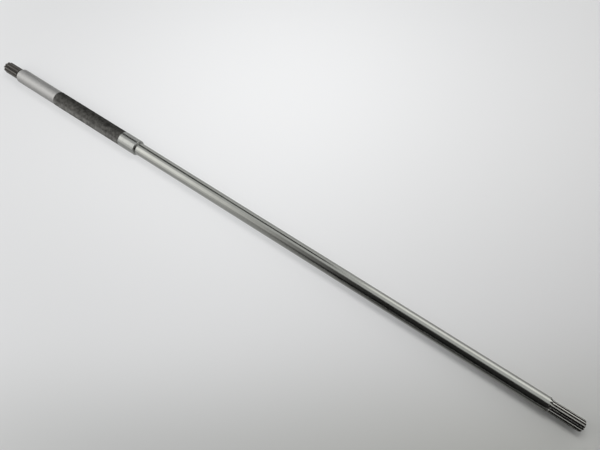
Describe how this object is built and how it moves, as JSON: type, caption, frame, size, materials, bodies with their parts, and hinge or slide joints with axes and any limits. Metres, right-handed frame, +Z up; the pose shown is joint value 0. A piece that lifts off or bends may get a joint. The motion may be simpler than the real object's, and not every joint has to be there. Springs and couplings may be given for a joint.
{
  "type": "propeller shaft",
  "caption": "Long slim one-piece steel drive shaft with an external spline at each end, a ground journal, a dark unground stretch, a raised ground bearing seat and a polished main length.",
  "frame": {"origin": "centre of the gear-end face, on the shaft's axis", "axes": "+X along the axis from the gear end to the engine end, +Z up when the shaft lies level"},
  "size_m": [0.8195, 0.02, 0.02],
  "materials": {
    "steel": "polished main length, satin ground seats, dark unground stretch and gear-end spline"
  },
  "bodies": {
    "root": {"propeller_shaft": "steel"}
  },
  "joints": []
}
